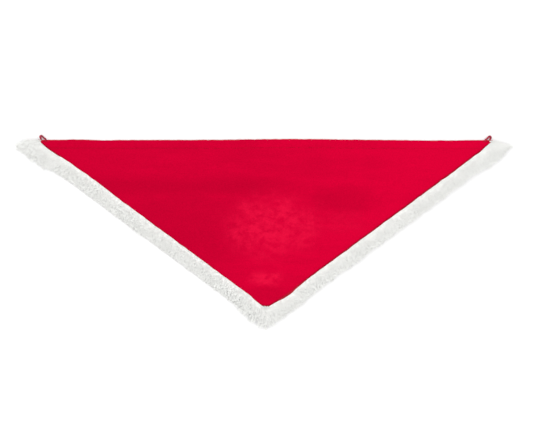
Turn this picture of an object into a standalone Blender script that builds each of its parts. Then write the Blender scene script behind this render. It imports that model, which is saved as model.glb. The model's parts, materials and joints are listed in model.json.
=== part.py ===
"""Triangular red velvet tree skirt with a white plush border and a cord loop at each top corner.

Metres, +Z up. The skirt lies flat with its lining on z = 0: +X runs along the straight top
edge and +Y points from the lower point to that edge. The origin is the middle of the base.
"""
import math

import bmesh
import bpy
from mathutils import Vector

# Overall sizes
TOP_EDGE = 0.824           # length of the velvet's straight edge, between the sloping seams
DEPTH = 0.3035             # from the straight edge to the point where the two seams meet
TRIM_WIDTH = 0.030         # plush border, measured square to its seam
TRIM_END_ROUND = 0.006     # rounding of the border's sharp outer corners

# Cloth, from the floor up
LINING_T = 0.0006          # woven lining
VELVET_T = 0.0011          # velvet with its pile
PILE_AT_SEAM = 0.0032      # border's height over its backing at the seam
PILE_CREST = 0.0085        # border's greatest height over its backing
PILE_AT_RIM = 0.0026       # border's height over its backing at the outer rim
CREST_SHARE = 0.45         # how far across the border the crest lies
LINING_INSET = 0.0015      # lining's edge, inside the border's rim
GAP = 0.0003               # space between pieces that lie against each other

# Band along the straight edge
BAND_WIDTH = 0.0140        # raised band over the tape and the loops' tails
BAND_SLOPE = 0.0016        # width of the band's lower slope
LIP_T = 0.0011             # velvet turned down at the very edge
TAPE_WIDTH = 0.008
TAPE_T = 0.0005
STITCH_BELOW_BAND = 0.0010

# Thread
THREAD_D = 0.0005

# Corner loops
CORD_D = 0.0024
LOOP_RISE = 0.0086         # top of the loop above the straight edge
LOOP_SPAN = 0.0125         # between the centres of the two legs
LOOP_BEND = 0.0032         # centre-line radius at the top of the loop
TAIL_W = 0.0026            # the cord where it is pressed flat in the seam
TAIL_T = 0.0013
TAIL_BEND = 0.0016         # centre-line radius of the sewn-in cord
TAIL_STEEPNESS = 0.8       # slope of the sewn-in cord, as a share of the seam's
TAPE_FROM_LOOP = 0.0030    # tape's end, inside the inner leg
BARTACK_DROP = 0.0030

# Worked out from those sizes
HALF_TOP = TOP_EDGE / 2
SLOPE = math.atan2(DEPTH, HALF_TOP)
SIN, COS, TAN = math.sin(SLOPE), math.cos(SLOPE), math.tan(SLOPE)
BAND_ROOM = TAIL_T + 2 * GAP                      # clear height under the raised band
PIVOT_OUT = CORD_D / 2 + GAP                      # loop's bending line, outside the edge
HALF_GAP = GAP / 2
LOWEST = DEPTH + TRIM_WIDTH / COS - HALF_GAP * TAN
Y_TOP = (LOWEST - LOOP_RISE) / 2
Y_POINT = Y_TOP - DEPTH
Z_VELVET = LINING_T + GAP
Z_FIELD = Z_VELVET + VELVET_T
Z_BAND_UNDER = LINING_T + BAND_ROOM
Z_BAND = Z_BAND_UNDER + VELVET_T
Z_CORD = LINING_T + BAND_ROOM / 2
Z_TRIM = LINING_T + THREAD_D + 2 * GAP            # border's backing, over its seam threads
Z_THREAD = LINING_T + GAP + THREAD_D / 2
TAIL_TURN = LIP_T + 0.6 * TAIL_BEND                # sewn-in cord turns once it is past the lip
TAIL_DROP = TAIL_TURN + LOOP_SPAN * TAN * TAIL_STEEPNESS
LOOP_X = HALF_TOP - TAIL_TURN / TAN - (TAIL_W / 2 + GAP) / SIN   # outer leg, clear of the border
TAPE_HALF = LOOP_X - LOOP_SPAN - TAPE_FROM_LOOP

SIDES = {"left": -1, "right": 1}


def material(name, colour, roughness, sheen=0.0):
    """A Principled BSDF in one colour."""
    mat = bpy.data.materials.new(name)
    mat.use_nodes = True
    shader = mat.node_tree.nodes["Principled BSDF"]
    shader.inputs["Base Color"].default_value = (*colour, 1.0)
    shader.inputs["Roughness"].default_value = roughness
    shader.inputs["Metallic"].default_value = 0.0
    shader.inputs["Sheen Weight"].default_value = sheen
    return mat


def make_object(name, verts, faces, mat, location=(0, 0, 0)):
    """A named object from vertices and faces, with its normals turned outwards."""
    mesh = bpy.data.meshes.new(name)
    mesh.from_pydata([tuple(v) for v in verts], [], faces)
    bm = bmesh.new()
    bm.from_mesh(mesh)
    bmesh.ops.recalc_face_normals(bm, faces=bm.faces)
    bm.to_mesh(mesh)
    bm.free()
    mesh.materials.append(mat)
    obj = bpy.data.objects.new(name, mesh)
    obj.location = location
    bpy.context.scene.collection.objects.link(obj)
    return obj


def prism(name, outline, z_low, z_high, mat):
    """A plan outline raised to a plate."""
    n = len(outline)
    verts = [(x, y, z) for z in (z_low, z_high) for x, y in outline]
    faces = [list(range(n)), list(range(n, 2 * n))]
    faces += [[i, (i + 1) % n, n + (i + 1) % n, n + i] for i in range(n)]
    return make_object(name, verts, faces, mat)


def seam_point(side, along, out):
    """Plan point: `along` the seam from the lower point, `out` from it, square to it."""
    x = side * (along * COS + out * SIN)
    y = Y_POINT + along * SIN - out * COS
    return x, y


def along_at_mitre(out):
    """Where a line parallel to the seam meets the mitre down the middle."""
    return (HALF_GAP - out * SIN) / COS


def along_at_edge(out):
    """Where a line parallel to the seam meets the straight edge."""
    return (DEPTH + out * COS) / SIN


def rounded_end(width, radius, steps=8):
    """(along, out) points round a strip's sharp outer corner, from the straight edge."""
    out_c = width - radius
    along_c = along_at_edge(out_c) - radius / SIN
    first, last = SLOPE - math.pi / 2, math.pi / 2
    turn = [first + (last - first) * k / steps for k in range(steps + 1)]
    return [(along_c + radius * math.cos(a), out_c + radius * math.sin(a)) for a in turn]


def pile_height(out):
    """Top of the border's pile over its backing, across the border."""
    share = out / TRIM_WIDTH
    if share < CREST_SHARE:
        rise = math.sin(share / CREST_SHARE * math.pi / 2)
        return PILE_AT_SEAM + (PILE_CREST - PILE_AT_SEAM) * rise
    fall = 1 - math.cos((share - CREST_SHARE) / (1 - CREST_SHARE) * math.pi / 2)
    return PILE_CREST + (PILE_AT_RIM - PILE_CREST) * fall


def plush_trim(name, side, mat, stations=7):
    """One border strip, mitred at the lower point and cut in line with the straight edge."""
    arc = rounded_end(TRIM_WIDTH, TRIM_END_ROUND)
    first_arc_out = arc[0][1]
    inner = [HALF_GAP + (first_arc_out - HALF_GAP) * k / stations for k in range(stations)]
    ends = [(along_at_edge(out), out) for out in inner] + arc
    verts = []
    for along, out in ends:
        x0, y0 = seam_point(side, along_at_mitre(out), out)
        x1, y1 = seam_point(side, along, out)
        z_top = Z_TRIM + pile_height(out)
        verts += [(x0, y0, Z_TRIM), (x0, y0, z_top), (x1, y1, z_top), (x1, y1, Z_TRIM)]
    faces = [[0, 1, 2, 3], [len(verts) - 4 + k for k in range(4)]]
    for i in range(len(ends) - 1):
        a, b = 4 * i, 4 * i + 4
        faces += [[a + k, a + (k + 1) % 4, b + (k + 1) % 4, b + k] for k in range(4)]
    return make_object(name, verts, faces, mat)


def back_lining(mat):
    """One flat layer under the velvet and the border."""
    width = TRIM_WIDTH - LINING_INSET
    arc = rounded_end(width, TRIM_END_ROUND)
    right = [seam_point(1, *p) for p in arc]
    point = (0.0, Y_POINT - width / COS)
    outline = right + [point] + [(-x, y) for x, y in reversed(right)]
    return prism("back_lining", outline, 0.0, LINING_T, mat)


def velvet_half(drop):
    """Half the velvet's width at a distance below the straight edge."""
    return (DEPTH - drop) / TAN - HALF_GAP / SIN


def velvet_face(mat):
    """The velvet: a flat field, a raised band along the straight edge and a turned-down lip."""
    apex = DEPTH - HALF_GAP / COS
    chamfer = LIP_T / 3
    profile = [
        (apex, Z_VELVET), (apex, Z_FIELD), (BAND_WIDTH, Z_FIELD),
        (BAND_WIDTH - BAND_SLOPE, Z_BAND), (LIP_T, Z_BAND), (0.0, Z_BAND - chamfer),
        (0.0, Z_VELVET), (LIP_T, Z_VELVET), (LIP_T, Z_BAND_UNDER),
        (BAND_WIDTH - BAND_SLOPE - VELVET_T, Z_BAND_UNDER), (BAND_WIDTH - VELVET_T, Z_VELVET),
    ]
    verts = [(0.0, Y_TOP - drop, z) for drop, z in profile[:2]]
    for drop, z in profile[2:]:
        half = velvet_half(drop)
        verts += [(-half, Y_TOP - drop, z), (half, Y_TOP - drop, z)]
    left = [0, 1] + list(range(2, len(verts), 2))
    right = [0, 1] + list(range(3, len(verts), 2))
    faces = [left, right, [1, left[2], right[2]], [left[-1], 0, right[-1]]]
    faces += [[left[i], left[i + 1], right[i + 1], right[i]] for i in range(2, len(left) - 1)]
    obj = make_object("velvet_face", verts, faces, mat)

    for side in SIDES.values():
        for leg in (0.0, LOOP_SPAN):
            notch = box_cutter(side * (LOOP_X - leg))
            cut = obj.modifiers.new("leg_notch", "BOOLEAN")
            cut.operation = "DIFFERENCE"
            cut.object = notch
    return obj


def box_cutter(x):
    """Cuts the way out for one leg of a loop through the lower part of the lip."""
    half = TAIL_W / 2 + GAP
    y0, y1 = Y_TOP - LIP_T - GAP, Y_TOP + LIP_T
    outline = [(x - half, y0), (x + half, y0), (x + half, y1), (x - half, y1)]
    cutter = prism("cutter_notch", outline, LINING_T - GAP, Z_BAND_UNDER - GAP / 3, MATERIALS["thread"])
    cutter.hide_render = True
    cutter.display_type = "WIRE"
    return cutter


def fillet(corners, radius, steps=6):
    """A polyline through the corners with each inner corner turned into an arc."""
    pts = [Vector(c) for c in corners]
    path = [pts[0]]
    for before, corner, after in zip(pts, pts[1:], pts[2:]):
        to_a, to_b = (before - corner).normalized(), (after - corner).normalized()
        half = to_a.angle(to_b) / 2
        centre = corner + (to_a + to_b).normalized() * (radius / math.sin(half))
        start = corner + to_a * (radius / math.tan(half)) - centre
        end = corner + to_b * (radius / math.tan(half)) - centre
        turn = start.angle(end)
        for k in range(steps + 1):
            a = turn * k / steps
            path.append(centre + (start * math.sin(turn - a) + end * math.sin(a)) / math.sin(turn))
    path.append(pts[-1])
    return path


def sweep(name, path, across, tall, mat, location=(0, 0, 0), sides=10, ball_ends=False):
    """A closed tube of elliptical section along a flat path, with flat or ball ends."""
    last = len(path) - 1
    ahead = [(path[min(i + 1, last)] - path[max(i - 1, 0)]).normalized() for i in range(last + 1)]
    rings = [(p, a, 1.0) for p, a in zip(path, ahead)]
    if ball_ends:
        for a in (math.radians(25), math.radians(50), math.radians(75)):
            reach = across * math.sin(a)
            rings.insert(0, (path[0] - ahead[0] * reach, ahead[0], math.cos(a)))
            rings.append((path[-1] + ahead[-1] * reach, ahead[-1], math.cos(a)))
    verts, faces = [], []
    for p, heading, scale in rings:
        square = Vector((-heading.y, heading.x))
        for k in range(sides):
            a = 2 * math.pi * k / sides
            flat = p + square * (across * scale * math.cos(a))
            verts.append((flat.x, flat.y, tall * scale * math.sin(a)))
    for i in range(len(rings) - 1):
        a, b = i * sides, (i + 1) * sides
        faces += [[a + k, a + (k + 1) % sides, b + (k + 1) % sides, b + k] for k in range(sides)]
    faces += [list(range(sides)), list(range(len(verts) - sides, len(verts)))]
    return make_object(name, verts, faces, mat, location)


def loop_path():
    """Centre-line of a loop: a leg straight out, a round top and a leg leaning inwards."""
    rise = LOOP_RISE - PIVOT_OUT - CORD_D / 2
    over = rise - LOOP_BEND
    inner = LOOP_SPAN - 2 * LOOP_BEND
    half_tan = (math.sqrt(over ** 2 + LOOP_SPAN * inner) - over) / LOOP_SPAN
    peak = LOOP_SPAN * (1 - half_tan ** 2) / (2 * half_tan)
    return fillet([(0, 0), (0, peak), (LOOP_SPAN, 0)], LOOP_BEND, steps=10)


def tail_path():
    """Centre-line of the sewn-in cord: in past the lip, down beside the seam and back up."""
    corners = [(0, 0), (0, -TAIL_TURN), (LOOP_SPAN, -TAIL_DROP), (LOOP_SPAN, 0)]
    return fillet(corners, TAIL_BEND, steps=5)


def mirrored(path, side):
    """A path drawn from the outer leg inwards, turned for the left or the right corner."""
    return [Vector((-side * p.x, p.y)) for p in path]


def corner_loop(label, side):
    """The free loop, its sewn-in part and the bar tack over it."""
    sweep(f"tie_loop_{label}", mirrored(loop_path(), side), CORD_D / 2, CORD_D / 2,
          MATERIALS["cord"], (side * LOOP_X, Y_TOP + PIVOT_OUT, Z_CORD), ball_ends=True)
    sweep(f"loop_tails_{label}", mirrored(tail_path(), side), TAIL_W / 2, TAIL_T / 2,
          MATERIALS["cord"], (side * LOOP_X, Y_TOP, Z_CORD))
    tack = [Vector((CORD_D, 0)), Vector((LOOP_SPAN + CORD_D / 2, 0))]
    sweep(f"loop_bartack_{label}", mirrored(tack, side), THREAD_D, THREAD_D / 2,
          MATERIALS["thread"], (side * LOOP_X, Y_TOP - BARTACK_DROP, Z_BAND + GAP + THREAD_D / 2),
          sides=8)


def thread(name, start, end, z):
    """A straight run of sewing thread."""
    path = [Vector(start), Vector(end)]
    return sweep(name, path, THREAD_D / 2, THREAD_D / 2, MATERIALS["thread"], (0, 0, z), sides=8)


def seams():
    """Thread: along the band, inside the straight edge, under the border and its mitre."""
    drop = BAND_WIDTH + STITCH_BELOW_BAND
    half = velvet_half(drop) - THREAD_D
    z_top = Z_FIELD + GAP + THREAD_D / 2
    thread("band_topstitch", (-half, Y_TOP - drop), (half, Y_TOP - drop), z_top)
    y_inside = Y_TOP - LIP_T - GAP - THREAD_D / 2
    thread("top_seam_thread", (-TAPE_HALF, y_inside), (TAPE_HALF, y_inside), Z_CORD)
    by_seam, by_rim = 2 * THREAD_D, TRIM_WIDTH - 2 * LINING_INSET
    from_mitre, from_edge = 4 * THREAD_D, 2 * TRIM_END_ROUND
    for label, side in SIDES.items():
        for kind, out in (("trim_seam_thread", by_seam), ("lining_seam_thread", by_rim)):
            start = seam_point(side, along_at_mitre(out) + from_mitre, out)
            end = seam_point(side, along_at_edge(out) - from_edge / SIN, out)
            thread(f"{kind}_{label}", start, end, Z_THREAD)
    low, high = by_rim - 2 * THREAD_D, by_seam + 2 * THREAD_D
    thread("mitre_seam_thread", (0, Y_POINT - high / COS), (0, Y_POINT - low / COS), Z_THREAD)


def stay_tape():
    """Woven tape under the band, between the two loops."""
    y_high = Y_TOP - LIP_T - 2 * GAP - THREAD_D
    outline = [(-TAPE_HALF, y_high - TAPE_WIDTH), (TAPE_HALF, y_high - TAPE_WIDTH)]
    outline += [(TAPE_HALF, y_high), (-TAPE_HALF, y_high)]
    prism("stay_tape", outline, Z_CORD - TAPE_T / 2, Z_CORD + TAPE_T / 2, MATERIALS["tape"])


for old in list(bpy.data.objects):
    bpy.data.objects.remove(old, do_unlink=True)

MATERIALS = {
    "velvet": material("velvet", (0.62, 0.004, 0.032), 0.75, sheen=0.4),
    "lining": material("lining", (0.45, 0.006, 0.025), 0.5),
    "plush": material("plush", (0.82, 0.82, 0.80), 0.9, sheen=0.3),
    "cord": material("cord", (0.28, 0.006, 0.022), 0.6),
    "tape": material("tape", (0.60, 0.02, 0.04), 0.8),
    "thread": material("thread", (0.40, 0.004, 0.02), 0.6),
}

velvet_face(MATERIALS["velvet"])
back_lining(MATERIALS["lining"])
stay_tape()
for side_label, side_sign in SIDES.items():
    plush_trim(f"fur_trim_{side_label}", side_sign, MATERIALS["plush"])
    corner_loop(side_label, side_sign)
seams()
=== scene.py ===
"""Looks of the triangular velvet tree skirt: cloth, plush pile, stitches, corner loops and light."""
import json
import math

import bmesh
import bpy
import numpy as np
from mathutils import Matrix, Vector


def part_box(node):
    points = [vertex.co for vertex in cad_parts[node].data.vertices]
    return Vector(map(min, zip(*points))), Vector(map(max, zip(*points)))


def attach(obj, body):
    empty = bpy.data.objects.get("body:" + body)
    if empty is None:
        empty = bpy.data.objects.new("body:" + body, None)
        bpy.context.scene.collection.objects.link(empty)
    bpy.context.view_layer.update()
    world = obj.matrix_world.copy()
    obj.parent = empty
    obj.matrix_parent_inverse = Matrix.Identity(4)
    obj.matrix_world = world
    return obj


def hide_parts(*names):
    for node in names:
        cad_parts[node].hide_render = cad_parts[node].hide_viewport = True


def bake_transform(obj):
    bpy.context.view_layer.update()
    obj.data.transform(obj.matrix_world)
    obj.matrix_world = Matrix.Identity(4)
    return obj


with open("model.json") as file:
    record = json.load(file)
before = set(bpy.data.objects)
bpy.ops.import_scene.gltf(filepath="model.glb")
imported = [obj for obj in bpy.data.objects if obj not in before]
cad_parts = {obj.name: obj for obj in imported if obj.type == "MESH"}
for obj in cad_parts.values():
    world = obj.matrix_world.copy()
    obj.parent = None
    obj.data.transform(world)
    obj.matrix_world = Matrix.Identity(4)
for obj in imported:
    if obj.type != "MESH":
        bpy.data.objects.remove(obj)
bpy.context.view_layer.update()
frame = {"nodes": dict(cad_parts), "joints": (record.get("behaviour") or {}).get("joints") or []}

# ---- sizes read from the frame, in metres ----
velvet_low, velvet_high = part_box("velvet_face")
lining_low, lining_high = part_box("back_lining")
trim_low, trim_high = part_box("fur_trim_right")
stitch_low, stitch_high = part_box("band_topstitch")
tack_low, tack_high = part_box("loop_bartack_right")
loop_low, loop_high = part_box("tie_loop_right")

Y_TOP = velvet_high.y                      # straight edge
Y_POINT = velvet_low.y                     # where the two seams meet
HALF_TOP = velvet_high.x
DEPTH = Y_TOP - Y_POINT
SLOPE = math.atan2(DEPTH, HALF_TOP)
SIN, COS = math.sin(SLOPE), math.cos(SLOPE)
TRIM_WIDTH = (Y_POINT - trim_low.y) * COS
Z_TRIM = trim_low.z
VELVET_T = 0.0011                          # chosen, as the frame doesn't say it
Z_FIELD = velvet_low.z + VELVET_T          # top of the flat field
BAND_RISE = velvet_high.z - Z_FIELD        # raised band along the straight edge
STITCH_DROP = Y_TOP - (stitch_low.y + stitch_high.y) / 2
SIDES = {"left": -1, "right": 1}

# ---- finish ----
END_ROUND = 0.006                          # border's sharp outer corners
POINT_BLUNT = 0.0034                       # height of the velvet's blunt lower end above its point
BODY_AT_SEAM, BODY_CREST, BODY_AT_RIM = 0.0032, 0.0066, 0.0016
BODY_WIDTH = 0.0242                        # packed pile; the loose pile goes on to the cut edge
LEFT_CURL, RIGHT_CURL = 0.0050, 0.0110     # how far the border's tips are drawn in
PILE_LENGTH = 0.0088
TUFT = 0.0075                              # loose tufts along the outer edge
LOCK_SPACING = 0.0025
STRANDS_PER_LOCK = 13
STRAND_RADIUS = 0.00023
PILE_PIECES = 4                            # pieces per side, so that no mesh grows too heavy
PILE_EVENNESS = 0.85                       # upward direction added to an upward strand face's normal
STITCH_LENGTH, STITCH_GAP, THREAD_R = 0.0030, 0.0008, 0.00028
EDGE_FADE = 0.09                           # the straight edge's bow dies away over this depth
END_FADE = 0.007                           # the pile changes over this length at a border's end
BODY_TAPER = 0.008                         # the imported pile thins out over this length
POINT_FADE = 0.010                         # the pile turns downwards over this length at the point
ROOT_DEPTH = 0.0009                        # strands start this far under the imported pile's top
EDGE_SHADE = 0.0035                        # the pile gets painted shade over this width beside its seam
RELIEF_MARGIN = 0.01                       # the relief's sheet is this much larger all round
RELIEF_LIMIT = 0.0022                      # height of the velvet's gentle relief
SETTLE_STEPS = 26                          # simulation steps until the sheet lies still


# ---------------------------------------------------------------- mesh helpers
def finish_object(name, mesh, mat, smooth=True):
    """Links a mesh as a named piece with one material."""
    mesh.materials.append(mat)
    if smooth:
        mesh.shade_smooth()
    else:
        mesh.shade_flat()
    obj = bpy.data.objects.new(name, mesh)
    bpy.context.scene.collection.objects.link(obj)
    return obj


def mesh_from(name, verts, faces, mat, smooth=True):
    """A piece from vertices and faces, with its normals turned outwards."""
    mesh = bpy.data.meshes.new(name)
    mesh.from_pydata([tuple(v) for v in verts], [], faces)
    bm = bmesh.new()
    bm.from_mesh(mesh)
    bmesh.ops.recalc_face_normals(bm, faces=bm.faces)
    bm.to_mesh(mesh)
    bm.free()
    return finish_object(name, mesh, mat, smooth)


def triangle_mesh(name, verts, tris, mat, attributes):
    """A piece from numpy arrays of vertices and triangles, with named point attributes."""
    mesh = bpy.data.meshes.new(name)
    mesh.vertices.add(len(verts))
    mesh.vertices.foreach_set("co", verts.astype(np.float32).ravel())
    mesh.loops.add(tris.size)
    mesh.loops.foreach_set("vertex_index", tris.astype(np.int32).ravel())
    mesh.polygons.add(len(tris))
    mesh.polygons.foreach_set("loop_start", np.arange(0, tris.size, 3, dtype=np.int32))
    mesh.update(calc_edges=True)
    mesh.validate()
    for key, values in attributes.items():
        layer = mesh.attributes.new(key, "FLOAT", "POINT")
        layer.data.foreach_set("value", values.astype(np.float32))
    return finish_object(name, mesh, mat, smooth=False)


def smoothstep(low, high, value):
    """0 below low, 1 above high and smooth in between, for numbers or arrays."""
    t = np.clip((value - low) / (high - low), 0.0, 1.0)
    return t * t * (3 - 2 * t)


def bump(centre, width, value):
    """A bell curve of height 1."""
    return np.exp(-((value - centre) / width) ** 2)


def wave_noise(seed, scale, *axes):
    """Smooth repeatable noise from -1 to 1 over arrays of coordinates, as a sum of sines."""
    rng = np.random.default_rng(seed)
    total = np.zeros_like(axes[0])
    for octave in range(7):
        spread = scale * 1.35 ** octave
        turns = rng.uniform(-1, 1, len(axes))
        turns *= spread / max(np.linalg.norm(turns), 1e-6)
        phase = rng.uniform(0, 2 * math.pi)
        total = total + np.sin(sum(t * a for t, a in zip(turns, axes)) * 2 * math.pi + phase)
    return total / 3.5


# ---------------------------------------------------------------- node helpers
class Nodes:
    """Small helper that builds one material's node tree."""

    def __init__(self, name):
        self.mat = bpy.data.materials.new(name)
        self.mat.use_nodes = True
        self.tree = self.mat.node_tree
        self.shader = self.tree.nodes["Principled BSDF"]
        self.place = self.add("ShaderNodeTexCoord").outputs["Object"]

    def add(self, kind, **values):
        """A node; values set its properties, or its inputs by their names."""
        node = self.tree.nodes.new(kind)
        for key, value in values.items():
            if hasattr(node, key):
                setattr(node, key, value)
            else:
                self.feed(node.inputs[key.replace("_", " ").title()], value)
        return node

    def feed(self, socket, value):
        """Links an output to a socket, or sets the socket to a value."""
        if isinstance(value, bpy.types.NodeSocket):
            self.tree.links.new(value, socket)
        else:
            socket.default_value = value

    def math(self, operation, a, b=0.0):
        """One arithmetic step on two numbers or links."""
        node = self.add("ShaderNodeMath", operation=operation)
        self.feed(node.inputs[0], a)
        self.feed(node.inputs[1], b)
        return node.outputs[0]

    def noise(self, scale, detail=2.0, rough=0.5, where=None):
        """Noise around 0.5, over object coordinates unless others are given."""
        node = self.add("ShaderNodeTexNoise", scale=scale, detail=detail, roughness=rough)
        self.feed(node.inputs["Vector"], self.place if where is None else where)
        return node.outputs["Fac"]

    def remap(self, value, low, high, to_low=0.0, to_high=1.0):
        """A value eased from one range into another, and held at its ends."""
        node = self.add("ShaderNodeMapRange", interpolation_type="SMOOTHSTEP")
        for socket, item in zip(node.inputs, (value, low, high, to_low, to_high)):
            self.feed(socket, item)
        return node.outputs[0]

    def mix(self, factor, a, b):
        """Two colours mixed, each of them a link or red, green and blue."""
        node = self.add("ShaderNodeMix", data_type="RGBA")
        self.feed(node.inputs["Factor"], factor)
        self.feed(node.inputs[6], a if isinstance(a, bpy.types.NodeSocket) else (*a, 1.0))
        self.feed(node.inputs[7], b if isinstance(b, bpy.types.NodeSocket) else (*b, 1.0))
        return node.outputs[2]

    def scaled(self, factors):
        """Object coordinates multiplied along each axis."""
        node = self.add("ShaderNodeVectorMath", operation="MULTIPLY")
        self.feed(node.inputs[0], self.place)
        self.feed(node.inputs[1], factors)
        return node.outputs[0]

    def spot(self, centre, radii):
        """1 at a centre in plan, fading to 0 over an ellipse."""
        away = self.add("ShaderNodeVectorMath", operation="SUBTRACT")
        self.feed(away.inputs[0], self.place)
        self.feed(away.inputs[1], (*centre, 0.0))
        share = self.add("ShaderNodeVectorMath", operation="MULTIPLY")
        self.feed(share.inputs[0], away.outputs[0])
        self.feed(share.inputs[1], (1 / radii[0], 1 / radii[1], 0.0))
        length = self.add("ShaderNodeVectorMath", operation="LENGTH")
        self.feed(length.inputs[0], share.outputs[0])
        ragged = self.math("ADD", length.outputs["Value"], self.remap(self.noise(28, 3), 0, 1, -0.35, 0.35))
        return self.remap(ragged, 1.35, 0.35)

    def relief(self, height, distance, strength):
        """Bump shading from a height, up to a distance in metres."""
        node = self.add("ShaderNodeBump")
        self.feed(node.inputs["Height"], height)
        node.inputs["Distance"].default_value = distance
        node.inputs["Strength"].default_value = strength
        self.tree.links.new(node.outputs[0], self.shader.inputs["Normal"])

    def surface(self, colour, roughness, specular=0.0, sheen=0.0, tint=(1, 1, 1), sheen_rough=0.5):
        """Colour and roughness may be links; the rest are plain values on the shader."""
        self.feed(self.shader.inputs["Base Color"], colour)
        self.feed(self.shader.inputs["Roughness"], roughness)
        self.shader.inputs["Specular IOR Level"].default_value = specular
        self.shader.inputs["Sheen Weight"].default_value = sheen
        self.shader.inputs["Sheen Tint"].default_value = (*tint, 1.0)
        self.shader.inputs["Sheen Roughness"].default_value = sheen_rough
        return self.mat


# ---------------------------------------------------------------- materials
# colours of the velvet's nap, darkest first: the darkest for painted shade, the last for painted sheen
NAP_SHADE_COLOUR, NAP_MID, NAP_LIGHT, NAP_SHEEN_COLOUR = (
    (0.41, 0.0, 0.020), (0.475, 0.0, 0.0235), (0.56, 0.0, 0.028), (0.62, 0.0036, 0.037))
# patches of painted shade and of painted sheen on the nap in plan: centre and radii in metres, and strength
SHADE_PATCHES = [((-0.14, 0.02), (0.13, 0.08), 0.75), ((0.142, 0.058), (0.07, 0.026), 0.70),
              ((0.004, -0.110), (0.035, 0.014), 0.60), ((0.06, 0.120), (0.11, 0.03), 0.30)]
SHEEN_PATCHES = [((0.014, 0.010), (0.088, 0.056), 1.0), ((0.005, -0.084), (0.034, 0.014), 1.0),
               ((0.135, 0.018), (0.055, 0.022), 0.30)]


def velvet_material():
    """Red velvet: nap brushed darker and lighter in patches, painted as shade and sheen, mottled, with a fine
    pile grain.
    """
    n = Nodes("red_velvet_nap")
    broad = n.remap(n.noise(7, 2), 0.3, 0.7)
    along = n.add("ShaderNodeSeparateXYZ")
    n.feed(along.inputs[0], n.place)
    x, y = along.outputs[0], along.outputs[1]
    towards_right = n.remap(x, -0.30, 0.42)
    tone = n.math("ADD", n.math("MULTIPLY", broad, 0.25), n.math("MULTIPLY", towards_right, 0.80))
    streak = n.noise(1.0, 3, 0.6, n.scaled((9, 60, 1)))
    tone = n.math("ADD", tone, n.remap(streak, 0.3, 0.7, -0.16, 0.16))
    colour = n.mix(n.remap(tone, 0.0, 1.0), NAP_MID, NAP_LIGHT)
    # painted shade: darker along a band across the field and in the shade patches
    shade = n.math("MULTIPLY", n.remap(n.math("ABSOLUTE", n.math("SUBTRACT", y, 0.083)), 0.03, 0.0),
                   n.remap(x, 0.12, -0.05))
    for centre, radii, amount in SHADE_PATCHES:
        shade = n.math("MAXIMUM", shade, n.math("MULTIPLY", n.spot(centre, radii), amount))
    colour = n.mix(n.math("MULTIPLY", shade, 0.75), colour, NAP_SHADE_COLOUR)
    # painted sheen: lighter, mottled and streaked, in the sheen patches where the nap is brushed
    painted_sheen = 0.0
    for centre, radii, amount in SHEEN_PATCHES:
        painted_sheen = n.math("MAXIMUM", painted_sheen, n.math("MULTIPLY", n.spot(centre, radii), amount))
    mottle = n.remap(n.noise(170, 4, 0.65), 0.32, 0.68)
    painted_sheen_streak = n.remap(n.noise(1.0, 3, 0.6, n.scaled((42, 75, 1))), 0.36, 0.62)
    painted_sheen_share = n.math("ADD", n.math("MULTIPLY", mottle, 0.55), n.math("MULTIPLY", painted_sheen_streak, 0.75))
    colour = n.mix(n.math("MINIMUM", n.math("MULTIPLY", painted_sheen, painted_sheen_share), 1.0), colour, NAP_SHEEN_COLOUR)
    speckle = n.remap(n.noise(420, 3, 0.6), 0.3, 0.7, 0.93, 1.07)
    shift = n.add("ShaderNodeVectorMath", operation="SCALE")
    n.feed(shift.inputs[0], colour)
    n.feed(shift.inputs["Scale"], speckle)
    grain = n.math("ADD", n.noise(1500, 2), n.math("MULTIPLY", n.noise(240, 3), 1.4))
    n.relief(grain, 0.0004, 0.55)
    rough = n.remap(mottle, 0, 1, 0.78, 0.92)
    return n.surface(shift.outputs[0], rough, 0.01, 0.08, (0.9, 0.02, 0.08), 0.45)


def weave_material(name, dark, light, threads, rough=0.6, specular=0.15, twill=False):
    """A plain or twill weave with a given number of threads to the metre, with painted shade where the
    threads lie lower.
    """
    n = Nodes(name)
    split = n.add("ShaderNodeSeparateXYZ")
    n.feed(split.inputs[0], n.scaled((threads * math.pi,) * 3))
    x, y = split.outputs[0], split.outputs[1]
    if twill:
        cell = n.math("SINE", n.math("ADD", x, y))
    else:
        cell = n.math("MULTIPLY", n.math("SINE", x), n.math("SINE", y))
    over = n.remap(cell, -1, 1)
    slub = n.remap(n.noise(60, 3), 0.3, 0.7)
    # painted shade: darker where the threads lie lower, mixed with the yarn's own slub tone
    tone = n.math("ADD", n.math("MULTIPLY", over, 0.55), n.math("MULTIPLY", slub, 0.45))
    n.relief(over, 0.0002, 0.6)
    return n.surface(n.mix(tone, dark, light), n.remap(over, 0, 1, rough + 0.1, rough), specular)


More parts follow.
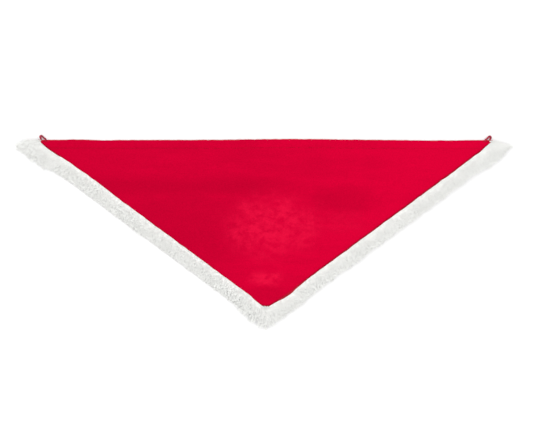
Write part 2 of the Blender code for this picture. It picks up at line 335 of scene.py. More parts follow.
def plush_material():
    """White plush: strand faces that face upwards are shaded partly as a level pile is."""
    n = Nodes("white_plush_pile")
    tip = n.add("ShaderNodeAttribute", attribute_name="tip").outputs["Fac"]
    shade = n.add("ShaderNodeAttribute", attribute_name="shade").outputs["Fac"]
    colour = n.mix(n.remap(tip, 0.0, 0.8), (0.936, 0.938, 0.921), (0.953, 0.956, 0.938))
    # painted shade from the shade attribute: darker beside the seam and along the rim
    colour = n.mix(n.math("MULTIPLY", shade, 0.8), colour, (0.74, 0.745, 0.72))
    colour = n.mix(n.remap(n.noise(45, 3), 0.35, 0.7, 0.0, 0.4), colour, (0.93, 0.93, 0.908))
    upward = n.add("ShaderNodeVectorTransform", convert_from="OBJECT", convert_to="WORLD")
    upward.vector_type = "NORMAL"
    upward.inputs[0].default_value = (0, 0, 1)
    own = n.add("ShaderNodeNewGeometry").outputs["Normal"]
    facing = n.add("ShaderNodeVectorMath", operation="DOT_PRODUCT")
    n.feed(facing.inputs[0], own)
    n.feed(facing.inputs[1], upward.outputs[0])
    lean = n.add("ShaderNodeVectorMath", operation="MULTIPLY_ADD")
    n.feed(lean.inputs[0], upward.outputs[0])
    n.feed(lean.inputs[1], n.remap(facing.outputs["Value"], -0.10, 0.15, 0.0, PILE_EVENNESS))
    n.feed(lean.inputs[2], own)
    soft = n.add("ShaderNodeVectorMath", operation="NORMALIZE")
    n.feed(soft.inputs[0], lean.outputs[0])
    n.feed(n.shader.inputs["Normal"], soft.outputs[0])
    return n.surface(colour, 0.85, 0.02, 0.05, (1.0, 1.0, 1.0), 0.5)


def backing_material():
    """Knitted backing and packed roots of the plush, with painted shade between the curls and beside the
    seam.
    """
    n = Nodes("plush_backing")
    curl = n.remap(n.noise(300, 4, 0.7), 0.3, 0.7)
    shade = n.add("ShaderNodeAttribute", attribute_name="shade").outputs["Fac"]
    # painted shade: darker where the curls lie lower
    colour = n.mix(curl, (0.90, 0.903, 0.885), (0.955, 0.957, 0.945))
    # painted shade beside the seam, from the shade attribute
    colour = n.mix(n.math("MULTIPLY", shade, 0.8), colour, (0.78, 0.785, 0.765))
    n.relief(curl, 0.0006, 0.6)
    return n.surface(colour, 0.9, 0.02, 0.1)


def thread_material(name, dark, light, twist=900):
    """Sewing thread or cord: fine slanting plies, with painted shade between them."""
    n = Nodes(name)
    split = n.add("ShaderNodeSeparateXYZ")
    n.feed(split.inputs[0], n.scaled((twist,) * 3))
    lines = n.math("SINE", n.math("ADD", n.math("ADD", split.outputs[0], split.outputs[1]), split.outputs[2]))
    ply = n.remap(lines, -1, 1)
    fuzz = n.remap(n.noise(800, 3), 0.3, 0.7)
    # painted shade between the plies, mixed with the fibres' own fuzz tone
    colour = n.mix(n.math("ADD", n.math("MULTIPLY", ply, 0.6), n.math("MULTIPLY", fuzz, 0.4)), dark, light)
    n.relief(ply, 0.00015, 0.6)
    return n.surface(colour, n.remap(fuzz, 0, 1, 0.45, 0.7), 0.12, 0.1, light)


VELVET = velvet_material()
LINING = weave_material("red_lining_weave", (0.34, 0.002, 0.016), (0.50, 0.006, 0.028), 1400)
TAPE = weave_material("stay_tape_twill", (0.42, 0.01, 0.03), (0.62, 0.03, 0.06), 900, 0.7, 0.1, twill=True)
PLUSH = plush_material()
BACKING = backing_material()
CORD = thread_material("red_satin_cord", (0.16, 0.010, 0.022), (0.50, 0.045, 0.085), 700)
THREAD = thread_material("red_thread", (0.27, 0.0, 0.013), (0.45, 0.004, 0.024), 3000)
WHITE_THREAD = thread_material("white_thread", (0.62, 0.62, 0.60), (0.85, 0.85, 0.83), 3000)


# ---------------------------------------------------------------- how the cloth lies
def edge_wave(x):
    """How far the straight edge bows away from a true line, drooping at both corners."""
    wave = 0.0017 * bump(0.05, 0.11, x) - 0.0010 * bump(0.31, 0.07, x)
    wave += 0.0009 * bump(-0.344, 0.028, x) - 0.0005 * bump(-0.29, 0.03, x)
    wave += 0.0018 * bump(-0.424, 0.018, x)
    wave -= 0.0050 * smoothstep(0.398, 0.447, x) + 0.0028 * smoothstep(0.426, 0.458, -x)
    return wave + 0.0006 + 0.00025 * wave_noise(5, 14, x)


def settle(x, y):
    """Shift in y of any plan point, dying away below the straight edge."""
    return edge_wave(x) * np.exp(-np.maximum(Y_TOP - y, 0) / EDGE_FADE)


def seam_shift(side, along):
    """How far a sewn seam bows outwards from a straight line, by distance from the point."""
    from_point = smoothstep(0.0, 0.05, along)
    if side < 0:
        to_corner = smoothstep(0.500, 0.455, along)
        bow = -0.0019 * from_point * to_corner - 0.0012 * bump(0.372, 0.03, along)
        bow += 0.0026 * bump(0.475, 0.024, along)
    else:
        to_corner = smoothstep(HALF_TOP / COS, 0.475, along)
        bow = 0.0028 * from_point * to_corner + 0.0034 * bump(0.043, 0.028, along)
    return bow + 0.0004 * wave_noise(11 + side, 9, along)


def drawn_in(x):
    """x after the border's tips have curled in towards the middle."""
    return x + LEFT_CURL * smoothstep(0.428, 0.458, -x) - RIGHT_CURL * smoothstep(0.412, 0.452, x)


def seam_points(side, along, out):
    """Plan points as arrays: along the seam from the lower point, and out from it."""
    out = out + seam_shift(side, along)
    x = side * (along * COS + out * SIN)
    y = Y_POINT + along * SIN - out * COS
    return drawn_in(x), y + settle(x, y)


def square(reach):
    """Corners of a level square around the origin."""
    return [(-reach, -reach, 0), (reach, -reach, 0), (reach, reach, 0), (-reach, reach, 0)]


def relief_objects(grid, reach):
    """The sheet that is dropped and the ground that it lands on."""
    mesh = bpy.data.meshes.new("relief")
    rows, columns = grid.shape[:2]
    index = np.arange(columns * rows).reshape(rows, columns)
    quads = np.stack([index[:-1, :-1], index[:-1, 1:], index[1:, 1:], index[1:, :-1]], -1).reshape(-1, 4)
    mesh.from_pydata(grid.reshape(-1, 3).tolist(), [], quads.tolist())
    cloth_object = bpy.data.objects.new("relief", mesh)
    ground_mesh = bpy.data.meshes.new("relief_ground")
    ground_mesh.from_pydata(square(reach), [], [(0, 1, 2, 3)])
    ground = bpy.data.objects.new("relief_ground", ground_mesh)
    for obj in (cloth_object, ground):
        bpy.context.scene.collection.objects.link(obj)
    ground.modifiers.new("hold", "COLLISION")
    ground.collision.thickness_outer = 0.001
    ground.collision.cloth_friction = 20
    return cloth_object, ground


def laid_relief(width, depth, spacing=0.0075):
    """Height field of a cloth dropped on the floor with a little slack, by cloth simulation."""
    columns, rows = int(width / spacing) + 1, int(depth / spacing) + 1
    gx, gy = np.meshgrid(np.linspace(-width / 2, width / 2, columns), np.linspace(0, depth, rows))
    hover = 0.006
    start = 0.0022 * wave_noise(3, 8, gx, gy) + 0.0012 * wave_noise(4, 19, gx, gy) + hover
    cloth_object, ground = relief_objects(np.stack([gx, gy, start], -1), width)
    cloth = cloth_object.modifiers.new("cloth", "CLOTH")
    cloth.settings.quality = 6
    cloth.settings.mass = 0.25
    cloth.settings.bending_stiffness = 0.6
    cloth.settings.tension_stiffness = cloth.settings.compression_stiffness = 20
    cloth.collision_settings.distance_min = 0.001
    cloth.collision_settings.use_self_collision = False
    cloth.point_cache.frame_end = 30
    for step in range(1, SETTLE_STEPS + 1):
        bpy.context.scene.frame_set(step)
    settled = cloth_object.evaluated_get(bpy.context.evaluated_depsgraph_get())
    flat = np.empty(columns * rows * 3, np.float32)
    settled.data.vertices.foreach_get("co", flat)
    heights = flat.reshape(rows, columns, 3)[:, :, 2]
    bpy.context.scene.frame_set(1)
    for obj in (cloth_object, ground):
        bpy.data.objects.remove(obj, do_unlink=True)
    return heights - heights.min()


class Relief:
    """Reads the laid cloth's height at any plan point."""

    def __init__(self):
        self.width, self.depth = 2 * HALF_TOP + 2 * RELIEF_MARGIN, DEPTH + 2 * RELIEF_MARGIN
        heights = laid_relief(self.width, self.depth)
        low, high = np.percentile(heights, (5, 99))
        self.heights = np.clip((heights - low) / max(high - low, 1e-5), 0, 1.15) * RELIEF_LIMIT

    def at(self, x, y):
        """Heights at arrays of plan points, eased between the sheet's own points."""
        rows, columns = self.heights.shape
        u = np.clip((x + self.width / 2) / self.width * (columns - 1), 0, columns - 1.001)
        v = np.clip((y - Y_POINT + RELIEF_MARGIN) / self.depth * (rows - 1), 0, rows - 1.001)
        i, j = u.astype(int), v.astype(int)
        fu, fv = smoothstep(0, 1, u - i), smoothstep(0, 1, v - j)
        h = self.heights
        low = h[j, i] * (1 - fu) + h[j, i + 1] * fu
        high = h[j + 1, i] * (1 - fu) + h[j + 1, i + 1] * fu
        return low * (1 - fv) + high * fv


relief = Relief()


# ---------------------------------------------------------------- velvet
def leg_positions():
    """x of each loop leg at the straight edge, right side, outer leg first."""
    cord_r = (loop_high.z - loop_low.z) / 2
    return loop_high.x - cord_r, loop_low.x + cord_r


def velvet_height(x, y, drop, inside):
    """Top of the velvet by plan position, distance below the edge and distance inside the seam."""
    band = smoothstep(0.0, 0.0028, drop) * smoothstep(STITCH_DROP - 0.0002, STITCH_DROP - 0.0042, drop)
    ease = 0.80 + 0.20 * wave_noise(21, 16, x)
    z = Z_FIELD + BAND_RISE * band * ease
    pucker = wave_noise(22, 130, x) * bump(STITCH_DROP, 0.0045, drop)
    z = z + 0.00022 * pucker - 0.00035 * bump(STITCH_DROP, 0.0009, drop)
    free = smoothstep(STITCH_DROP, STITCH_DROP + 0.025, drop) * smoothstep(0.002, 0.022, inside)
    z = z + relief.at(x, y) * free
    z = z + 0.00022 * wave_noise(23, 70, x, y) * smoothstep(0.0, 0.006, inside)
    gather = wave_noise(24, 95, x + y) * bump(0.003, 0.004, inside)
    z = z + 0.0002 * gather
    return np.maximum(z - 0.0010 * bump(0.0, 0.0012, inside), 0.0013)


def velvet_drops():
    """Distances below the straight edge of the velvet's rows, closest at the edge and the stitches."""
    edge_rows = np.array([0.0, 0.0004, 0.0009, 0.0016, 0.0025, 0.0036])
    band_rows = np.linspace(0.005, STITCH_DROP - 0.0022, 7)
    stitch_rows = STITCH_DROP + np.array([-0.0014, -0.0007, 0.0, 0.0007, 0.0014, 0.0026])
    field_start = STITCH_DROP + 0.0045
    field_rows = field_start + (DEPTH - POINT_BLUNT - field_start) * np.linspace(0, 1, 90)
    return np.concatenate([edge_rows, band_rows, stitch_rows, field_rows])


def velvet_row(drop):
    """Points across the velvet at one distance below the edge, closest near its two seams."""
    near = np.array([0.0, 0.0005, 0.0011, 0.0019, 0.0030, 0.0050])
    across = np.linspace(0, 1, 292)
    ends = []
    for side in (-1, 1):
        x, _ = seam_points(side, np.array([(DEPTH - drop) / SIN]), np.array([0.0]))
        ends.append(float(x[0]))
    left, right = ends
    squeeze = min(1.0, (right - left) / 2 / (near[-1] / SIN * 1.6))
    margin = near / SIN * squeeze
    inner = left + margin[-1] + (right - left - 2 * margin[-1]) * across[1:-1]
    xs = np.concatenate([left + margin, inner, (right - margin)[::-1]])
    inside = np.minimum(xs - left, right - xs) * SIN
    row_y = Y_TOP - drop
    ys = row_y + settle(xs, np.full_like(xs, row_y))
    return np.stack([xs, ys, velvet_height(xs, ys, np.full_like(xs, drop), inside)], -1)


def turned_lip(top):
    """Rows that turn down over the straight edge, lifted where a loop's cord comes out under them."""
    lip = [(-0.0001, -0.0003), (-0.0003, -0.0012), (0.0001, -0.0020), (0.0010, -0.0023)]
    over_cord = sum(bump(s * leg, 0.0017, top[:, 0]) for s in (-1, 1) for leg in leg_positions())
    turned = []
    for out, down in reversed(lip):
        ring = top.copy()
        ring[:, 1] -= out
        ring[:, 2] = np.maximum(ring[:, 2] + down * (1 - 0.55 * np.clip(over_cord, 0, 1)), 0.0010)
        turned.append(ring)
    return turned


def velvet_piece():
    """The velvet as one fine sheet, rolled over at the straight edge, sunk at its seams."""
    rings = [velvet_row(drop) for drop in velvet_drops()]
    grid = np.array(turned_lip(rings[0]) + rings)
    rows, columns = grid.shape[:2]
    index = np.arange(rows * columns).reshape(rows, columns)
    quads = np.stack([index[:-1, :-1], index[1:, :-1], index[1:, 1:], index[:-1, 1:]], -1).reshape(-1, 4)
    mesh = bpy.data.meshes.new("velvet_cloth")
    mesh.from_pydata(grid.reshape(-1, 3).tolist(), [], quads.tolist())
    obj = finish_object("velvet_cloth", mesh, VELVET)
    shell = obj.modifiers.new("thickness", "SOLIDIFY")
    shell.thickness = VELVET_T * 0.7
    shell.offset = -1
    return obj


velvet = velvet_piece()
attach(velvet, "skirt")
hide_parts("velvet_face")


# ---------------------------------------------------------------- lining
def lining_rim():
    """Plan points round the lining: down the right side, up the left and back along the edge."""
    width = (Y_POINT - lining_low.y) * COS
    corner = lining_high.x - END_ROUND - 0.016
    mitre = -BODY_WIDTH * SIN / COS
    rim = []
    for side in (1, -1):
        along = np.linspace((DEPTH + width * COS) / SIN - 0.012, mitre + 0.001, 90)
        if side < 0:
            along = along[::-1]
        x, y = seam_points(side, along, BODY_WIDTH + 0.0004 * wave_noise(31, 40, along))
        rim += list(zip(x, y))
    edge_x = np.linspace(-corner, corner, 160)
    return rim + list(zip(drawn_in(edge_x), Y_TOP - 0.0020 + edge_wave(edge_x)))


def lining_piece():
    """Thin woven lining: flat, in rings around its middle, with a slightly drawn-in outer edge."""
    rim = lining_rim()
    count = len(rim)
    middle = Vector((0.0, Y_TOP - DEPTH / 3))
    shares = (0.25, 0.5, 0.75, 0.96, 1.0)
    verts = [(middle.x, middle.y, lining_high.z)]
    for share in shares:
        ring = [middle.lerp(Vector(point), share) for point in rim]
        verts += [(p.x, p.y, lining_high.z) for p in ring]
    faces = [[0, 1 + i, 1 + (i + 1) % count] for i in range(count)]
    for r in range(len(shares) - 1):
        a, b = 1 + r * count, 1 + (r + 1) * count
        faces += [[a + i, b + i, b + (i + 1) % count, a + (i + 1) % count] for i in range(count)]
    mesh = bpy.data.meshes.new("lining_cloth")
    mesh.from_pydata(verts, [], faces)
    obj = finish_object("lining_cloth", mesh, LINING)
    shell = obj.modifiers.new("thickness", "SOLIDIFY")
    shell.thickness = lining_high.z - lining_low.z
    shell.offset = 1                       # the rim runs clockwise, so the faces point down
    return obj


lining = lining_piece()
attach(lining, "skirt")
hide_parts("back_lining")


# ---------------------------------------------------------------- plush border
def trim_limits(out):
    """First and last `along` of the border at a distance out from its seam."""
    first = -out * SIN / COS
    last = (DEPTH + out * COS) / SIN
    out_c = TRIM_WIDTH - END_ROUND
    along_c = (DEPTH + out_c * COS) / SIN - END_ROUND / SIN
    round_end = along_c + np.sqrt(np.maximum(END_ROUND ** 2 - np.maximum(out - out_c, 0) ** 2, 0))
    low = out_c - END_ROUND * COS
    return first, np.where(out > low, np.minimum(last, np.where(out > out_c, round_end, last)), last)


def body_height(out):
    """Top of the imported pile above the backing, low at the seam and lower at the rim."""
    share = np.clip(out / BODY_WIDTH, 0, 1)
    rise = np.sin(np.clip(share / 0.40, 0, 1) * math.pi / 2)
    fall = np.cos(np.clip((share - 0.40) / 0.60, 0, 1) * math.pi / 2) ** 0.8
    near = BODY_AT_SEAM + (BODY_CREST - BODY_AT_SEAM) * rise
    far = BODY_AT_RIM + (BODY_CREST - BODY_AT_RIM) * fall
    return np.where(share < 0.40, near, far)


def plush_body(label, side):
    """Backing and packed roots of one strip: a long rounded body with a clotted surface."""
    rim = [BODY_WIDTH + 0.0008, BODY_WIDTH + 0.0014]
    outs = np.concatenate([[0.0001, 0.0005, 0.0011], np.linspace(0.0020, BODY_WIDTH, 22), rim])
    lows = np.concatenate([[0.55, 0.82, 0.96], np.ones(22), [0.55, 0.30]])
    steps = 430
    rings = []
    for out, low in zip(outs, lows):
        first, last = trim_limits(np.array([out]))
        start, stop = float(first[0]) + 0.0001, float(last[0]) - 0.0010
        along = np.linspace(start, stop, steps)
        x, y = seam_points(side, along, out * widening(along))
        clot = 0.5 + 0.30 * wave_noise(41 + side, 110, x, y) + 0.20 * wave_noise(47 + side, 290, x, y)
        taper = np.sqrt(np.clip((stop - along) / BODY_TAPER, 0, 1))
        z = Z_TRIM + body_height(out) * low * (0.84 + 0.20 * clot) * (0.30 + 0.70 * taper)
        rings.append(np.stack([x, y, z], -1))
    top = np.array(rings)
    base = top.copy()
    base[:, :, 2] = Z_TRIM
    rows, columns = top.shape[:2]
    size = rows * columns
    verts = np.concatenate([top.reshape(-1, 3), base.reshape(-1, 3)])
    index = np.arange(size).reshape(rows, columns)
    cells = np.stack([index[:-1, :-1], index[1:, :-1], index[1:, 1:], index[:-1, 1:]], -1).reshape(-1, 4)
    loop = list(index[0, :]) + list(index[1:, -1]) + list(index[-1, -2::-1]) + list(index[-2:0:-1, 0])
    loop = np.array(loop)
    ahead = np.roll(loop, -1)
    walls = np.stack([loop, ahead, ahead + size, loop + size], -1)
    faces = np.concatenate([cells, cells[:, ::-1] + size, walls])
    obj = mesh_from(f"plush_body_{label}", verts.tolist(), faces.tolist(), BACKING)
    # painted shade: darker beside the seam
    shade = np.exp(-np.tile(np.repeat(outs, steps), 2) / EDGE_SHADE)
    obj.data.attributes.new("shade", "FLOAT", "POINT").data.foreach_set("value", shade.astype(np.float32))
    return obj


def corner_roots():
    """(along, out) roots over the velvet's sharp upper corner."""
    spots = []
    for out in (0.0002, -0.0008, -0.0018):
        last = (DEPTH + out * COS) / SIN
        spots += [(last - drop, out) for drop in (0.0006, 0.0018, 0.0030) if drop > -out]
    return np.array(spots)


def point_roots():
    """(along, out) roots across the velvet's blunt lower end, where the pile is brushed down."""
    spots = []
    for x in np.arange(0.0, 0.0085, 0.0014):
        for drop in (0.0002, 0.0016, 0.0030):
            rise = POINT_BLUNT - drop
            if x * SIN - rise * COS < 0.0010:
                spots.append((x * COS + rise * SIN, x * SIN - rise * COS))
    return np.array(spots)


def widening(along):
    """The border spreads a little where it runs out at the corners."""
    return 1 + 0.22 * smoothstep(0.44, 0.49, along)


def rim_reach(side, along):
    """How much further than its cut width the loose pile reaches at the outer edge."""
    if side < 0:
        return 0.0072 * bump(0.012, 0.045, along) + 0.0026 * smoothstep(0.445, 0.480, along) + 0.0006
    return 0.0072 * bump(0.0, 0.026, along) + 0.0008 * smoothstep(0.455, 0.495, along) - 0.0004


def lock_roots(side, rng):
    """Jittered (along, out) roots of the locks over a border strip, with each lock's size."""
    inner = [(0.0008, 0.0017, 0.45), (0.0017, 0.0022, 0.7)]
    middle = [(row, LOCK_SPACING, 1.0) for row in np.arange(0.0036, BODY_WIDTH - 0.0040, LOCK_SPACING * 0.88)]
    rim = [(BODY_WIDTH - 0.0036, 0.0026, 1.1), (BODY_WIDTH - 0.0022, 0.0029, 1.25)]
    rim += [(BODY_WIDTH - 0.0008, 0.0033, 1.4)]
    roots, sizes = [], []
    for out, spacing, size in inner + middle + rim:
        first, last = trim_limits(np.array([out]))
        start, stop = float(first[0]) + 0.0006, float(last[0]) - 0.0016
        count = int((stop - start) / spacing)
        along = np.linspace(start, stop, count) + rng.uniform(-0.5, 0.5, count) * spacing
        across = out + rng.uniform(-0.42, 0.42, count) * min(LOCK_SPACING, out)
        along[-5:] = stop - 0.010 * rng.random(5)
        crowd = stop - 0.012 * rng.random(6) ** 1.5
        along, across = np.append(along, crowd), np.append(across, np.full(6, out))
        roots.append(np.stack([along, across], -1))
        sizes.append(np.full(len(along), size))
    for spots in (point_roots(), corner_roots()):
        roots.append(spots)
        sizes.append(np.full(len(spots), 0.8))
    return np.concatenate(roots), np.concatenate(sizes)


def root_height(out, to_end):
    """Where strands start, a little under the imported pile's top."""
    taper = np.sqrt(np.clip(to_end / BODY_TAPER, 0.05, 1))
    return Z_TRIM + body_height(np.maximum(out, 0.0012)) * (0.30 + 0.70 * taper) - ROOT_DEPTH


class Locks:
    """The locks of one strip: where each is rooted, how long it is and which way it reaches."""

    def __init__(self, side, rng):
        self.side = side
        roots, self.size = lock_roots(side, rng)
        self.along, self.out = roots[:, 0], roots[:, 1]
        self.count = len(roots)
        self.first, self.last = trim_limits(self.out)
        self.share = np.clip(self.out / BODY_WIDTH, 0, 1)
        self.rim = smoothstep(0.78, 0.94, self.share)
        self.length, self.pull = self.lengths(rng)
        self.reach = self.reaches(rng)

    def lengths(self, rng):
        """Each lock's length, and how far along the seam the middle of its tuft is."""
        short = 0.42 + 0.58 * smoothstep(0.0, 0.22, self.share)
        length = PILE_LENGTH * short * rng.uniform(0.80, 1.15, self.count)
        length *= 1 - 0.10 * np.exp(-np.maximum(self.last - self.along, 0) / END_FADE)
        long_tuft = np.where(rng.random(self.count) < 0.22, rng.uniform(0.15, 0.45, self.count), 0.0)
        length = length * (1 - 0.34 * self.rim) * (1 + self.rim * (long_tuft - 0.25 * rng.random(self.count)))
        number = np.floor(self.along / TUFT).astype(int)
        lean, tall = rng.uniform(-0.3, 0.3, 128), rng.uniform(-0.0016, 0.0036, 128)
        pull = (number + 0.5 + lean[number]) * TUFT - self.along
        tufted = tall[number] * (1 - np.abs(pull) / TUFT)
        return length + self.rim * (rim_reach(self.side, self.along) + tufted), pull

    def reaches(self, rng):
        """Vector from each lock's root to its tip: outwards and up, turned at the strip's two ends."""
        slope = np.radians(38 - 12 * smoothstep(0.0, 0.6, self.share) - 18 * self.rim)
        lift = slope + rng.normal(0, 0.12, self.count)
        outward = np.array([[self.side * SIN, -COS]])
        lengthwise = np.array([[self.side * COS, SIN]])
        at_point = np.exp(-np.maximum(self.along - self.first, 0) / POINT_FADE)[:, None]
        at_end = np.exp(-np.maximum(self.last - self.along, 0) / END_FADE)[:, None]
        heading = outward + np.array([[0.0, -1.0]]) * at_point * 1.5
        heading = heading * (1 - 0.45 * at_end) + lengthwise * at_end * 0.75
        sway = rng.normal(0, 1, self.count) * (0.34 - 0.16 * self.rim)
        heading += lengthwise * (self.rim * self.pull / 0.009 + sway)[:, None]
        heading /= np.linalg.norm(heading, axis=1)[:, None]
        direction = np.concatenate([heading * np.cos(lift)[:, None], np.sin(lift)[:, None]], -1)
        return direction * self.length[:, None]


def strand_roots(locks, pick, rng):
    """Root of every strand, scattered around its lock's own, and how far out each one is."""
    total = len(pick)
    spread = 0.00095 * locks.size[pick]
    along = locks.along[pick] + rng.normal(0, 1, total) * spread
    out = locks.out[pick] + rng.normal(0, 1, total) * spread
    over_velvet = locks.out[pick] < 0.0004
    out = np.where(over_velvet, out, np.maximum(out, 0.0005))
    x, y = seam_points(locks.side, along, out * widening(along))
    root = np.stack([x, y, root_height(out, locks.last[pick] - along)], -1)
    root[:, 2] = np.maximum(root[:, 2] + rng.normal(0, 0.0002, total), Z_TRIM + 0.0003)
    return root, out


def strand_ends(locks, pick, rng):
    """End of every strand, gathered at its lock's tip; tips at the rim hang a little."""
    total = len(pick)
    x, y = seam_points(locks.side, locks.along, locks.out * widening(locks.along))
    tip = np.stack([x, y, root_height(locks.out, locks.last - locks.along)], -1) + locks.reach
    tip[:, 2] -= locks.rim * (0.0008 + 0.0016 * rng.random(locks.count))
    end = tip[pick] + rng.normal(0, 0.00036, (total, 3)) * locks.size[pick][:, None]
    end += locks.reach[pick] * rng.uniform(-0.24, 0.06, (total, 1))
    end[:, 2] = np.maximum(end[:, 2], 0.0007)
    return end


def pile_strands(side, rng):
    """Curved tapering strands in pointed locks: root, bend and tip points, and a shade each, which is random
    tone with painted shade beside the seam and at the rim.
    """
    locks = Locks(side, rng)
    per_lock = np.round(STRANDS_PER_LOCK * locks.size ** 1.2).astype(int)
    pick = np.repeat(np.arange(locks.count), per_lock)
    total = len(pick)
    root, root_out = strand_roots(locks, pick, rng)
    end = strand_ends(locks, pick, rng)
    middle = root * 0.42 + end * 0.58
    middle[:, 2] += locks.length[pick] * rng.uniform(0.05, 0.18, total)
    middle += rng.normal(0, 0.0005, (total, 3))
    middle[:, 2] = np.maximum(middle[:, 2], 0.0009)
    # painted shade: darker beside the seam and along the rim, over each lock's and strand's random tone
    painted_edge_shade = 0.65 * np.exp(-np.maximum(root_out, 0) / EDGE_SHADE) + 0.18 * locks.rim[pick]
    shade = np.clip(0.12 * rng.random(locks.count)[pick] + 0.08 * rng.random(total) + painted_edge_shade, 0, 1)
    return root, middle, end, shade


def strand_mesh(name, root, middle, end, shade, rng):
    """Three-sided tapering tubes along quadratic curves, all in one piece."""
    stations = np.array([0.0, 0.34, 0.68])
    total, sides = len(root), 3
    spin = rng.uniform(0, 2 * math.pi, total)
    radius = STRAND_RADIUS * rng.uniform(0.75, 1.3, total)
    rings = []
    for t in stations:
        centre = (1 - t) ** 2 * root + 2 * t * (1 - t) * middle + t * t * end
        ahead = (1 - t) * (middle - root) + t * (end - middle)
        ahead /= np.linalg.norm(ahead, axis=1)[:, None]
        side_a = np.cross(ahead, np.array([[0.31, 0.17, 0.93]]))
        side_a /= np.linalg.norm(side_a, axis=1)[:, None]
        side_b = np.cross(ahead, side_a)
        width = radius * (1.0 - 0.40 * t)
        for s in range(sides):
            a = spin + 2 * math.pi * s / sides
            across, up = width * np.cos(a), width * np.sin(a)
            rings.append(centre + side_a * across[:, None] + side_b * up[:, None])
    rings.append(end)
    verts = np.stack(rings, axis=1)
    per = verts.shape[1]
    tris = [[0, 2, 1]]
    for level in range(len(stations) - 1):
        for s in range(sides):
            a, b = level * sides + s, level * sides + (s + 1) % sides
            tris += [[a, b, b + sides], [a, b + sides, a + sides]]
    last = (len(stations) - 1) * sides
    tris += [[last + s, last + (s + 1) % sides, per - 1] for s in range(sides)]
    tris = np.array(tris)[None] + (np.arange(total) * per)[:, None, None]
    towards_tip = np.concatenate([np.repeat(stations, sides), [1.0]])
    attributes = {"tip": np.tile(towards_tip, total), "shade": np.repeat(shade, per)}
    return triangle_mesh(name, verts.reshape(-1, 3), tris.reshape(-1, 3), PLUSH, attributes)


for label, side in SIDES.items():
    rng = np.random.default_rng(70 + side)
    body = plush_body(label, side)
    root, middle, end, shade = pile_strands(side, rng)
    travel = np.hypot(root[:, 0], root[:, 1] - Y_POINT)
    cuts = np.quantile(travel, np.linspace(0, 1, PILE_PIECES + 1))
    pile = []
    for k in range(PILE_PIECES):
        chosen = (travel >= cuts[k]) & ((travel < cuts[k + 1]) | (k == PILE_PIECES - 1))
        pile.append(strand_mesh(f"plush_pile_{label}_{k + 1}", root[chosen], middle[chosen], end[chosen],
                                shade[chosen], rng))
    for piece in [body] + pile:
        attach(piece, "skirt")
    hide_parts(f"fur_trim_{label}")


# ---------------------------------------------------------------- stitches
def capsule(path, radius, sides=7):
    """Verts and faces of a thin tube through points, tapered at its two ends."""
    verts, faces = [], []
    last = len(path) - 1
    for i, p in enumerate(path):
        ahead = (path[min(i + 1, last)] - path[max(i - 1, 0)]).normalized()
        side_a = ahead.cross(Vector((0.12, 0.07, 1.0))).normalized()
        side_b = ahead.cross(side_a)
        width = radius * (0.35 if i in (0, last) else 1.0)
        for s in range(sides):
            a = 2 * math.pi * s / sides
            verts.append(p + side_a * (width * math.cos(a)) + side_b * (width * math.sin(a)))
    for i in range(last):
        a, b = i * sides, (i + 1) * sides
        faces += [[a + s, a + (s + 1) % sides, b + (s + 1) % sides, b + s] for s in range(sides)]
    faces += [list(range(sides)), list(range(last * sides, (last + 1) * sides))]
    return verts, faces


def joined(name, parts, mat):
    """One piece from many small closed meshes."""
    verts, faces = [], []
    for part_verts, part_faces in parts:
        faces += [[v + len(verts) for v in f] for f in part_faces]
        verts += part_verts
    return mesh_from(name, verts, faces, mat)


def surface_z(x, drop):
    """Velvet's height on the band or its stitch line at one place."""
    xs, drops = np.array([x]), np.array([drop])
    return float(velvet_height(xs, Y_TOP - drops, drops, np.array([0.05]))[0])


def topstitch():
    """Single stitches along the lower side of the band."""
    half = stitch_high.x - 0.001
    pitch = STITCH_LENGTH + STITCH_GAP
    parts = []
    count = int(2 * half / pitch)
    for k in range(count):
        x0 = -half + k * pitch
        points = []
        for t in (0.0, 0.12, 0.35, 0.65, 0.88, 1.0):
            x = x0 + STITCH_LENGTH * t
            y = Y_TOP - STITCH_DROP + float(edge_wave(np.array([x]))[0]) * math.exp(-STITCH_DROP / EDGE_FADE)
            arch = math.sin(math.pi * t) ** 0.5
            z = surface_z(x, STITCH_DROP) - 0.0003 + 0.00045 * arch
            points.append(Vector((x, y + 0.00012 * math.sin(k * 2.4), z)))
        parts.append(capsule(points, THREAD_R))
    return joined("topstitch_stitches", parts, THREAD)


def bartack(label, side):
    """Close zigzag of thread over the roots of one loop."""
    low, high = tack_low.x, tack_high.x
    drop = Y_TOP - (tack_low.y + tack_high.y) / 2
    count = 15
    parts = []
    for k in range(count):
        x = side * (low + (high - low) * (k + 0.5) / count)
        slant = 0.0004 if k % 2 else -0.0004
        z = surface_z(x, drop)
        points = []
        for t in (-1.0, -0.7, 0.0, 0.7, 1.0):
            y = Y_TOP - drop + float(edge_wave(np.array([x]))[0]) + 0.0010 * t
            points.append(Vector((x + slant * t, y, z + 0.0002 * (1 - t * t) - 0.00012)))
        parts.append(capsule(points, THREAD_R * 0.9, 6))
    return joined(f"bartack_stitches_{label}", parts, THREAD)


stitches = topstitch()
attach(stitches, "skirt")
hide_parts("band_topstitch")


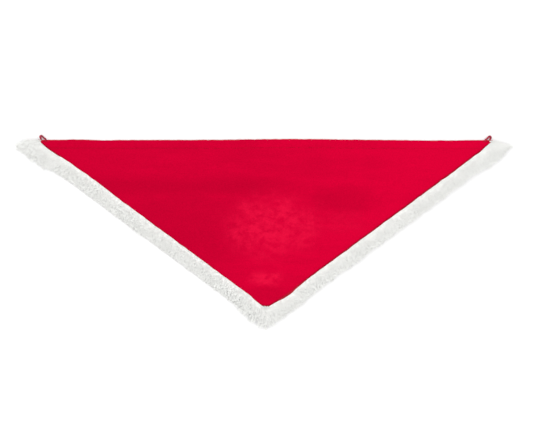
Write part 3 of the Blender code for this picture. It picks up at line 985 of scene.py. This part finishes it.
# ---------------------------------------------------------------- corner loops
def loop_route(side):
    """Centre-line of a loop's cord: out of the seam, round and back in, with flattened ends."""
    cord_r = (loop_high.z - loop_low.z) / 2
    outer, inner = leg_positions()
    peak_y = loop_high.y - cord_r
    lift = float(edge_wave(np.array([side * outer]))[0])
    span = outer - inner
    peak = peak_y - Y_TOP
    corners = [(0.0012, -0.0075), (0.0010, -0.0010), (0.0000, 0.0024), (-0.0012, 0.0050)]
    corners += [(-0.0008, peak - 0.0008), (0.0010, peak), (0.0030, peak - 0.0014), (0.0052, 0.0038)]
    corners += [(span - 0.0036, 0.0004), (span - 0.0024, -0.0075)]
    guide = [Vector((side * (outer - cx), Y_TOP + cy + lift * (cy > 0), 0)) for cx, cy in corners]
    route = []
    for i in range(len(guide) - 1):
        before = guide[max(i - 1, 0)]
        a, b = guide[i], guide[i + 1]
        after = guide[min(i + 2, len(guide) - 1)]
        for k in range(14):
            t = k / 14
            route.append(0.5 * ((2 * a) + (b - before) * t + (2 * before - 5 * a + 4 * b - after) * t * t
                                + (3 * a - before - 3 * b + after) * t ** 3))
    route.append(guide[-1])
    return route, cord_r


PRESSED_R = 0.00062                        # half the cord's height where it is pressed flat in the seam


def corner_loop(label, side):
    """A two-ply twisted satin cord along the loop's route."""
    route, cord_r = loop_route(side)
    z_mid = (loop_low.z + loop_high.z) / 2
    sides, pitch = 18, 0.0052
    verts, faces = [], []
    travelled = 0.0
    for i, p in enumerate(route):
        ahead = (route[min(i + 1, len(route) - 1)] - route[max(i - 1, 0)]).normalized()
        square = Vector((-ahead.y, ahead.x, 0))
        travelled += (p - route[i - 1]).length if i else 0.0
        outside = float(smoothstep(-0.003, 0.0005, p.y - Y_TOP))
        tall = PRESSED_R + (cord_r - PRESSED_R) * outside
        for s in range(sides):
            a = 2 * math.pi * s / sides
            lobe = 1.20 + 0.30 * abs(math.cos(a - 2 * math.pi * travelled / pitch))
            rise = Vector((0, 0, max(z_mid + tall * lobe * math.sin(a), 0.0001)))
            verts.append(p + square * (cord_r * lobe * math.cos(a)) + rise)
    rows = len(route)
    for i in range(rows - 1):
        a, b = i * sides, (i + 1) * sides
        faces += [[a + s, a + (s + 1) % sides, b + (s + 1) % sides, b + s] for s in range(sides)]
    faces += [list(range(sides)), list(range((rows - 1) * sides, rows * sides))]
    return mesh_from(f"loop_cord_{label}", verts, faces, CORD)


for label, side in SIDES.items():
    loop = corner_loop(label, side)
    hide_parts(f"tie_loop_{label}", f"loop_tails_{label}")
    joint = next(j for j in frame["joints"] if j["name"] == f"{label}_loop_bend")
    pivot = Vector(joint["pos_m"])
    end = (pivot.x, Y_TOP + 0.003, pivot.z)
    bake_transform(loop)
    tack = bartack(label, side)
    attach(tack, "skirt")
    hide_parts(f"loop_bartack_{label}")


# ---------------------------------------------------------------- CAD pieces that stay
def finish_node(node, mat):
    """Gives a carried-over CAD node its material."""
    obj = frame["nodes"][node]
    obj.data.materials.clear()
    obj.data.materials.append(mat)


finish_node("stay_tape", TAPE)
finish_node("top_seam_thread", THREAD)
finish_node("mitre_seam_thread", WHITE_THREAD)
for label in SIDES:
    finish_node(f"trim_seam_thread_{label}", THREAD)
    finish_node(f"lining_seam_thread_{label}", WHITE_THREAD)


# ---------------------------------------------------------------- floor, light and camera
def floor():
    """A plain pale floor under the skirt."""
    n = Nodes("pale_floor")
    n.surface(n.mix(n.remap(n.noise(3, 2), 0.3, 0.7), (0.83, 0.83, 0.83), (0.85, 0.85, 0.85)), 0.9)
    reach = 6.0
    obj = mesh_from("floor", square(reach), [[0, 1, 2, 3]], n.mat, smooth=False)
    obj.location.z = -0.0002


def area_light(name, location, size, energy):
    """A soft square light aimed at the middle of the skirt."""
    data = bpy.data.lights.new(name, "AREA")
    data.shape = "SQUARE"
    data.size = size
    data.energy = energy
    obj = bpy.data.objects.new(name, data)
    obj.location = location
    obj.rotation_euler = (-Vector(location)).to_track_quat("-Z", "Y").to_euler()
    bpy.context.scene.collection.objects.link(obj)


def studio():
    """Even white surroundings with a broad soft key."""
    world = bpy.data.worlds.new("studio")
    world.use_nodes = True
    sky = world.node_tree.nodes["Background"]
    sky.inputs["Color"].default_value = (1, 1, 1, 1)
    sky.inputs["Strength"].default_value = 1.10
    bpy.context.scene.world = world
    area_light("key", (-1.2, 1.6, 2.2), 1.6, 16)
    area_light("fill", (1.6, -1.2, 2.4), 2.2, 14)
    area_light("low_fill", (-1.5, -1.6, 1.8), 1.8, 7)
    bpy.context.scene.view_settings.view_transform = "Standard"
    bpy.context.scene.view_settings.look = "None"


def camera():
    """Looks straight down from above, a little off the middle."""
    data = bpy.data.cameras.new("camera")
    data.lens = 95
    data.sensor_width = 36
    view_width, aim = 0.9631, (0.0018, 0.0231)
    obj = bpy.data.objects.new("camera", data)
    obj.location = (*aim, trim_high.z / 2 + view_width * data.lens / data.sensor_width)
    bpy.context.scene.collection.objects.link(obj)
    bpy.context.scene.camera = obj


floor()
studio()
camera()
